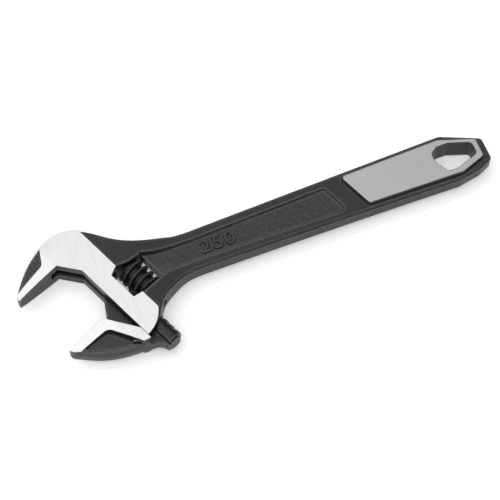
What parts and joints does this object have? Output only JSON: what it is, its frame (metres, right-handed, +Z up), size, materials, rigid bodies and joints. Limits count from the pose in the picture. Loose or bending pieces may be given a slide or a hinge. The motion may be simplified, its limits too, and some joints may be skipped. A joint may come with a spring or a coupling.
{
  "type": "adjustable wrench",
  "caption": "Single-ended adjustable wrench with a sliding hook jaw driven by a thumb-turned worm, panelled handle and hanging hole, jaw modelled wide open.",
  "frame": {"origin": "centre of the bounding box seen from above, at the bottom, where the tool lies flat on its ground head face", "axes": "+X along the handle from the jaws towards the hanging hole, +Z up out of the flat side, +Y across the handle towards the fixed jaw"},
  "size_m": [0.2564, 0.0774, 0.016],
  "materials": {
    "forged_steel": "black phosphate on the forged surfaces, ground bright on the head faces and the hanging land",
    "worm_steel": "black phosphate, knurled crests",
    "pin_steel": "oiled black",
    "spring_steel": "bare spring wire"
  },
  "bodies": {
    "base": {"wrench_body": "forged_steel", "worm_pin": "pin_steel", "worm_spring": "spring_steel"},
    "jaw": {"movable_jaw": "forged_steel"},
    "worm": {"worm_screw": "worm_steel"}
  },
  "joints": [
    {"name": "worm_spin", "type": "hinge", "parent": "base", "child": "worm", "pos_m": [-0.06665, 0.00269, 0.008], "axis": [0.3827, -0.9239, 0], "range_deg": [0, 3189]},
    {"name": "jaw_slide", "type": "slide", "parent": "base", "child": "jaw", "axis": [-0.3827, 0.9239, 0], "range_m": [0, 0.0372]}
  ],
  "couplings": [
    {"joint": "worm_spin", "follows": "jaw_slide", "rad_per_m": 1496}
  ]
}
